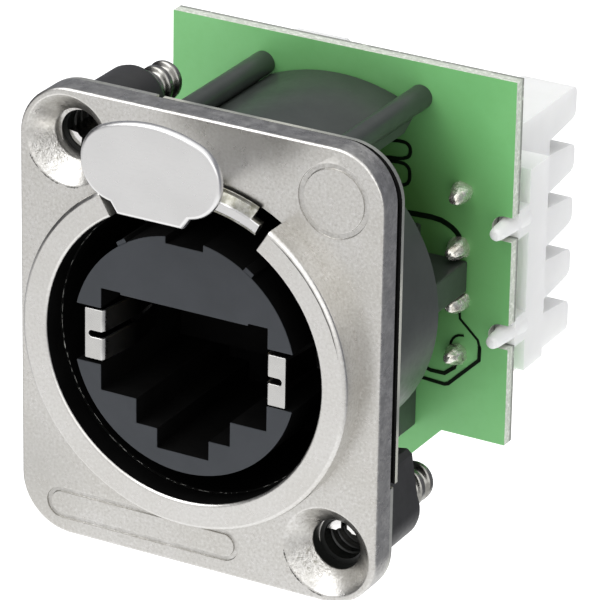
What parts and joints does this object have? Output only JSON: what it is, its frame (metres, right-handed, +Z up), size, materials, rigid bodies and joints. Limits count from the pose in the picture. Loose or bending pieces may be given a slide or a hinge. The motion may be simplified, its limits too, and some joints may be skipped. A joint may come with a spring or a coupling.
{
  "type": "ethernet panel connector",
  "caption": "Panel socket for a shielded data plug: metal flange with raised collar and push latch, round nose, circuit board and punch-down wire terminals behind.",
  "frame": {"origin": "on the socket axis, in the rear face of the flange, midway between the two screw holes", "axes": "+X to the right seen from the front, +Y rearward along the socket axis, +Z up towards the latch"},
  "size_m": [0.026, 0.0383, 0.0326],
  "materials": {
    "nickel_casting": "satin nickel plate on a casting",
    "latch_metal": "bright satin nickel plate",
    "steel_pin": "ground steel",
    "spring_steel": "drawn wire",
    "tinned_sheet": "tinned sheet",
    "spring_sheet": "bright plated sheet",
    "black_plastic": "fine moulded texture",
    "grey_black_plastic": "smooth moulded",
    "boss_plastic": "smooth moulded",
    "contact_gold": "gold plated",
    "green_board": "green solder resist",
    "solder": "shiny solder",
    "white_plastic": "natural translucent",
    "screw_steel": "zinc plated"
  },
  "bodies": {
    "connector": {"flange": "nickel_casting", "latch_pivot_pin": "steel_pin", "latch_spring": "spring_steel", "earth_plate": "tinned_sheet", "rear_housing": "black_plastic", "socket_insert": "grey_black_plastic", "shield_spring_left": "spring_sheet", "shield_spring_right": "spring_sheet", "contact_wires": "contact_gold", "contact_carrier": "grey_black_plastic", "jack_body": "black_plastic", "circuit_board": "green_board", "terminal_solder_joints": "solder", "jack_solder_joints": "solder", "terminal_block_left": "white_plastic", "terminal_block_right": "white_plastic", "terminal_blades_left": "tinned_sheet", "terminal_blades_right": "tinned_sheet", "screw_boss_upper": "boss_plastic", "screw_boss_lower": "boss_plastic", "panel_screws": "screw_steel"},
    "latch": {"push_latch": "latch_metal"}
  },
  "joints": [
    {"name": "latch_press", "type": "hinge", "parent": "connector", "child": "latch", "pos_m": [0, 0.0055, 0.01075], "axis": [-1, 0, 0], "range_deg": [0, 5], "stiffness_Nm_per_rad": 0.1, "springref_deg": -5.73}
  ]
}
